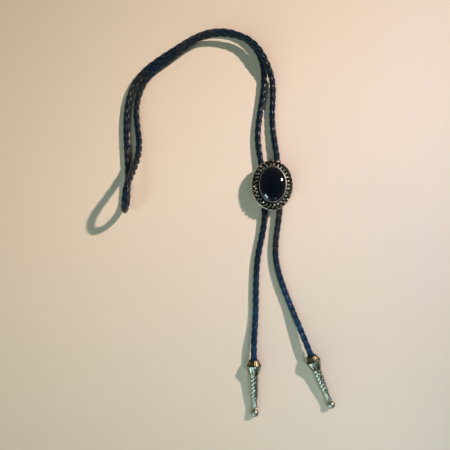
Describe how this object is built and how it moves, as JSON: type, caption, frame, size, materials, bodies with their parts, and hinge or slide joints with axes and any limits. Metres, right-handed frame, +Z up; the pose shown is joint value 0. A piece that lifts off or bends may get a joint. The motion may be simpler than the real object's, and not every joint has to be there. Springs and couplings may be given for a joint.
{
  "type": "bolo tie",
  "caption": "Bolo tie lying loose: a braided leather cord looped through an oval slide with a domed black stone, its ends in turned metal tips.",
  "frame": {"origin": "on the surface that the tie lies on, at the middle of the clasp's flat back, under the slide's centre", "axes": "+Z up from the surface through the slide's stone, +Y from the slide towards the neck loop, +X towards the right-hand tip"},
  "size_m": [0.1783, 0.3273, 0.0309],
  "materials": {
    "cast_frame": "antiqued cast brass, dark in its hollows and rubbed bright on its beads and rim",
    "black_stone": "polished opaque black onyx",
    "clasp_metal": "plain satin brass",
    "braided_leather": "black braided leather with a soft sheen",
    "tip_metal": "pale antiqued brass, polished on its smooth shank and ball"
  },
  "bodies": {
    "root": {"slide_frame": "cast_frame", "cabochon": "black_stone", "back_clasp": "clasp_metal", "cord": "braided_leather", "tip_left": "tip_metal", "tip_right": "tip_metal"}
  },
  "joints": []
}
